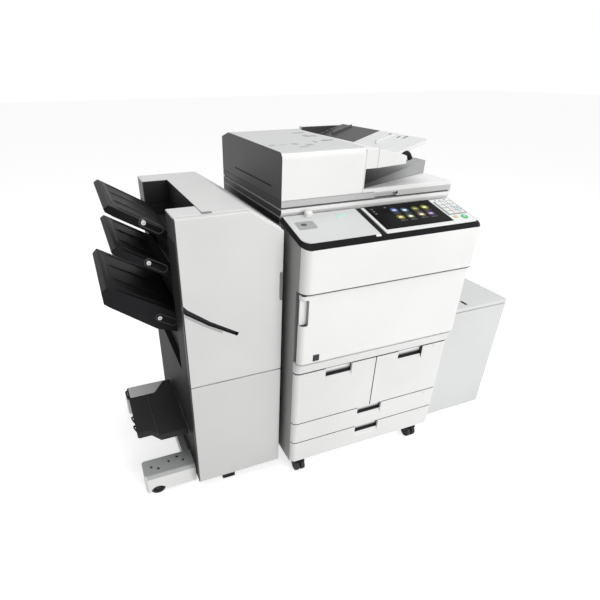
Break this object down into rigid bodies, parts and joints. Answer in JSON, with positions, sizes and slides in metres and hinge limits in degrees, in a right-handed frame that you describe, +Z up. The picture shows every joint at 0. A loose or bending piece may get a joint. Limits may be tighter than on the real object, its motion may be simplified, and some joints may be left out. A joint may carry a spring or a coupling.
{
  "type": "photocopier",
  "caption": "Floor-standing office copier with paper drawers, document feeder, tilting touch panel, side finisher with sloping output trays, and a side paper deck.",
  "frame": {"origin": "middle of the footprint, on the floor", "axes": "+X towards the paper deck, the operator's right; -Y towards the operator; +Z up"},
  "size_m": [1.6368, 0.778, 1.2314],
  "materials": {
    "base_plate": "satin",
    "booklet_tray": "satin",
    "caster_fl_swivel": "satin",
    "caster_fl_wheel": "satin",
    "caster_fr_swivel": "satin",
    "caster_fr_wheel": "satin",
    "caster_rl_swivel": "satin",
    "caster_rl_wheel": "satin",
    "caster_rr_swivel": "satin",
    "caster_rr_wheel": "satin",
    "console_ledge": "satin",
    "console_rim": "satin",
    "control_panel": "satin",
    "deck_body": "satin",
    "deck_key": "satin",
    "deck_lid": "satin",
    "deck_lift_plate": "satin",
    "door_label": "satin",
    "drawer_1_front": "satin",
    "drawer_1_tray": "satin",
    "drawer_2_front": "satin",
    "drawer_2_tray": "satin",
    "drawer_3_front": "satin",
    "drawer_3_tray": "satin",
    "drawer_4_front": "satin",
    "drawer_4_tray": "satin",
    "eject_tray": "satin",
    "feed_roller": "satin",
    "feeder_base": "satin",
    "feeder_cover": "satin",
    "finisher_body": "satin",
    "finisher_door": "satin",
    "finisher_lower_cover": "satin",
    "finisher_top": "satin",
    "foot_wheel_front": "satin",
    "foot_wheel_rear": "satin",
    "front_door": "satin",
    "front_lip": "satin",
    "guide_front": "satin",
    "guide_rear": "satin",
    "inner_cover": "satin",
    "input_tray": "satin",
    "mid_shelf": "satin",
    "numeric_keypad": "satin",
    "platen_glass": "glossy",
    "reader_housing": "satin",
    "rear_cover": "satin",
    "release_lever": "satin",
    "scan_carriage": "satin",
    "side_left": "satin",
    "side_right": "satin",
    "stabiliser": "satin",
    "start_key": "glossy",
    "stop_key": "glossy",
    "toner_bottle": "satin",
    "touch_screen": "glossy",
    "tray_1": "satin",
    "tray_2": "satin",
    "tray_3": "satin",
    "upper_front_cover": "satin"
  },
  "bodies": {
    "main_unit": {"base_plate": "base_plate", "side_left": "side_left", "side_right": "side_right", "rear_cover": "rear_cover", "mid_shelf": "mid_shelf", "front_lip": "front_lip", "inner_cover": "inner_cover", "upper_front_cover": "upper_front_cover", "console_rim": "console_rim", "console_ledge": "console_ledge", "reader_housing": "reader_housing", "platen_glass": "platen_glass"},
    "door": {"front_door": "front_door", "door_label": "door_label"},
    "toner": {"toner_bottle": "toner_bottle"},
    "lever": {"release_lever": "release_lever"},
    "carriage": {"scan_carriage": "scan_carriage"},
    "panel": {"control_panel": "control_panel", "touch_screen": "touch_screen", "numeric_keypad": "numeric_keypad"},
    "start_button": {"start_key": "start_key"},
    "stop_button": {"stop_key": "stop_key"},
    "feeder": {"feeder_base": "feeder_base", "eject_tray": "eject_tray"},
    "feeder_lid": {"feeder_cover": "feeder_cover"},
    "pick_roller": {"feed_roller": "feed_roller"},
    "originals_tray": {"input_tray": "input_tray"},
    "front_guide": {"guide_front": "guide_front"},
    "rear_guide": {"guide_rear": "guide_rear"},
    "finisher": {"finisher_body": "finisher_body", "finisher_top": "finisher_top", "finisher_lower_cover": "finisher_lower_cover", "stabiliser": "stabiliser"},
    "finisher_front": {"finisher_door": "finisher_door"},
    "output_1": {"tray_1": "tray_1"},
    "output_2": {"tray_2": "tray_2"},
    "output_3": {"tray_3": "tray_3"},
    "booklet_output": {"booklet_tray": "booklet_tray"},
    "foot_roller_front": {"foot_wheel_front": "foot_wheel_front"},
    "foot_roller_rear": {"foot_wheel_rear": "foot_wheel_rear"},
    "deck": {"deck_body": "deck_body"},
    "deck_lift": {"deck_lift_plate": "deck_lift_plate"},
    "deck_cover": {"deck_lid": "deck_lid"},
    "deck_button": {"deck_key": "deck_key"},
    "paper_drawer_1": {"drawer_1_front": "drawer_1_front", "drawer_1_tray": "drawer_1_tray"},
    "paper_drawer_2": {"drawer_2_front": "drawer_2_front", "drawer_2_tray": "drawer_2_tray"},
    "paper_drawer_3": {"drawer_3_front": "drawer_3_front", "drawer_3_tray": "drawer_3_tray"},
    "paper_drawer_4": {"drawer_4_front": "drawer_4_front", "drawer_4_tray": "drawer_4_tray"},
    "fork_fl": {"caster_fl_swivel": "caster_fl_swivel"},
    "wheel_fl": {"caster_fl_wheel": "caster_fl_wheel"},
    "fork_fr": {"caster_fr_swivel": "caster_fr_swivel"},
    "wheel_fr": {"caster_fr_wheel": "caster_fr_wheel"},
    "fork_rl": {"caster_rl_swivel": "caster_rl_swivel"},
    "wheel_rl": {"caster_rl_wheel": "caster_rl_wheel"},
    "fork_rr": {"caster_rr_swivel": "caster_rr_swivel"},
    "wheel_rr": {"caster_rr_wheel": "caster_rr_wheel"}
  },
  "joints": [
    {"name": "caster_fl_turn", "type": "hinge", "parent": "main_unit", "child": "fork_fl", "pos_m": [-0.18656, -0.297, 0.065], "axis": [0, 0, 1], "continuous": true},
    {"name": "caster_fl_roll", "type": "hinge", "parent": "fork_fl", "child": "wheel_fl", "pos_m": [-0.18656, -0.321, 0.025], "axis": [1, 0, 0], "continuous": true},
    {"name": "caster_fr_turn", "type": "hinge", "parent": "main_unit", "child": "fork_fr", "pos_m": [0.36444, -0.297, 0.065], "axis": [0, 0, 1], "continuous": true},
    {"name": "caster_fr_roll", "type": "hinge", "parent": "fork_fr", "child": "wheel_fr", "pos_m": [0.36444, -0.321, 0.025], "axis": [1, 0, 0], "continuous": true},
    {"name": "caster_rl_turn", "type": "hinge", "parent": "main_unit", "child": "fork_rl", "pos_m": [-0.17056, 0.331, 0.065], "axis": [0, 0, 1], "continuous": true},
    {"name": "caster_rl_roll", "type": "hinge", "parent": "fork_rl", "child": "wheel_rl", "pos_m": [-0.17056, 0.307, 0.025], "axis": [1, 0, 0], "continuous": true},
    {"name": "caster_rr_turn", "type": "hinge", "parent": "main_unit", "child": "fork_rr", "pos_m": [0.36444, 0.331, 0.065], "axis": [0, 0, 1], "continuous": true},
    {"name": "caster_rr_roll", "type": "hinge", "parent": "fork_rr", "child": "wheel_rr", "pos_m": [0.36444, 0.307, 0.025], "axis": [1, 0, 0], "continuous": true},
    {"name": "drawer_1_slide", "type": "slide", "parent": "main_unit", "child": "paper_drawer_1", "axis": [0, -1, 0], "range_m": [0, 0.4]},
    {"name": "drawer_2_slide", "type": "slide", "parent": "main_unit", "child": "paper_drawer_2", "axis": [0, -1, 0], "range_m": [0, 0.4]},
    {"name": "drawer_3_slide", "type": "slide", "parent": "main_unit", "child": "paper_drawer_3", "axis": [0, -1, 0], "range_m": [0, 0.45]},
    {"name": "drawer_4_slide", "type": "slide", "parent": "main_unit", "child": "paper_drawer_4", "axis": [0, -1, 0], "range_m": [0, 0.45]},
    {"name": "front_door_hinge", "type": "hinge", "parent": "main_unit", "child": "door", "pos_m": [0.42544, -0.381, 0.69], "axis": [0, 0, 1], "range_deg": [0, 105]},
    {"name": "toner_spin", "type": "hinge", "parent": "main_unit", "child": "toner", "pos_m": [-0.03856, -0.119, 0.735], "axis": [0, 1, 0], "continuous": true},
    {"name": "release_lever_turn", "type": "hinge", "parent": "main_unit", "child": "lever", "pos_m": [0.21144, -0.335, 0.7], "axis": [0, 1, 0], "range_deg": [0, 80]},
    {"name": "scan_carriage_slide", "type": "slide", "parent": "main_unit", "child": "carriage", "axis": [1, 0, 0], "range_m": [0, 0.58]},
    {"name": "panel_tilt", "type": "hinge", "parent": "main_unit", "child": "panel", "pos_m": [0.24644, -0.3707, 0.98657], "axis": [1, 0, 0], "range_deg": [0, 40]},
    {"name": "start_key_press", "type": "slide", "parent": "panel", "child": "start_button", "axis": [0, 0.2425, -0.9701], "range_m": [0, 0.0015], "stiffness_N_per_m": 400, "springref_m": -0.001},
    {"name": "stop_key_press", "type": "slide", "parent": "panel", "child": "stop_button", "axis": [0, 0.2425, -0.9701], "range_m": [0, 0.0015], "stiffness_N_per_m": 400, "springref_m": -0.001},
    {"name": "feeder_lift", "type": "hinge", "parent": "main_unit", "child": "feeder", "pos_m": [0.09644, 0.386, 1.056], "axis": [-1, 0, 0], "range_deg": [0, 65]},
    {"name": "feeder_cover_hinge", "type": "hinge", "parent": "feeder", "child": "feeder_lid", "pos_m": [-0.23556, 0.091, 1.079], "axis": [0, -1, 0], "range_deg": [0, 60]},
    {"name": "feed_roller_spin", "type": "hinge", "parent": "feeder", "child": "pick_roller", "pos_m": [-0.01356, 0.091, 1.1785], "axis": [0, 1, 0], "continuous": true},
    {"name": "input_tray_hinge", "type": "hinge", "parent": "feeder", "child": "originals_tray", "pos_m": [0.10744, 0.091, 1.2108], "axis": [0, -1, 0], "range_deg": [0, 45]},
    {"name": "guide_front_slide", "type": "slide", "parent": "originals_tray", "child": "front_guide", "axis": [0, 1, 0], "range_m": [-0.06, 0.12]},
    {"name": "guide_rear_slide", "type": "slide", "parent": "originals_tray", "child": "rear_guide", "axis": [0, -1, 0], "range_m": [-0.06, 0.12]},
    {"name": "finisher_slide", "type": "slide", "parent": "main_unit", "child": "finisher", "axis": [-1, 0, 0], "range_m": [0, 0.25]},
    {"name": "finisher_door_hinge", "type": "hinge", "parent": "finisher", "child": "finisher_front", "pos_m": [-0.26106, -0.287, 0.79], "axis": [0, 0, 1], "range_deg": [0, 90]},
    {"name": "output_tray_1_lift", "type": "slide", "parent": "finisher", "child": "output_1", "axis": [0, 0, -1], "range_m": [0, 0.1]},
    {"name": "output_tray_2_lift", "type": "slide", "parent": "finisher", "child": "output_2", "axis": [0, 0, -1], "range_m": [0, 0.1]},
    {"name": "output_tray_3_lift", "type": "slide", "parent": "finisher", "child": "output_3", "axis": [0, 0, -1], "range_m": [0, 0.1]},
    {"name": "booklet_tray_fold", "type": "hinge", "parent": "finisher", "child": "booklet_output", "pos_m": [-0.59906, -0.019, 0.249], "axis": [0, 1, 0], "range_deg": [0, 80]},
    {"name": "foot_wheel_front_roll", "type": "hinge", "parent": "finisher", "child": "foot_roller_front", "pos_m": [-0.75156, -0.2294, 0.03], "axis": [0, 1, 0], "continuous": true},
    {"name": "foot_wheel_rear_roll", "type": "hinge", "parent": "finisher", "child": "foot_roller_rear", "pos_m": [-0.75156, 0.3414, 0.03], "axis": [0, 1, 0], "continuous": true},
    {"name": "deck_slide", "type": "slide", "parent": "main_unit", "child": "deck", "axis": [1, 0, 0], "range_m": [0, 0.3]},
    {"name": "deck_lift_slide", "type": "slide", "parent": "deck", "child": "deck_lift", "axis": [0, 0, 1], "range_m": [0, 0.45]},
    {"name": "deck_lid_hinge", "type": "hinge", "parent": "deck", "child": "deck_cover", "pos_m": [0.62644, 0.358, 0.5605], "axis": [-1, 0, 0], "range_deg": [0, 75]},
    {"name": "deck_key_press", "type": "slide", "parent": "deck_cover", "child": "deck_button", "axis": [0, 0, -1], "range_m": [0, 0.0015], "stiffness_N_per_m": 400, "springref_m": -0.001}
  ],
  "couplings": [
    {"joint": "guide_rear_slide", "follows": "guide_front_slide", "ratio": 1},
    {"joint": "output_tray_2_lift", "follows": "output_tray_1_lift", "ratio": 1},
    {"joint": "output_tray_3_lift", "follows": "output_tray_1_lift", "ratio": 1}
  ]
}
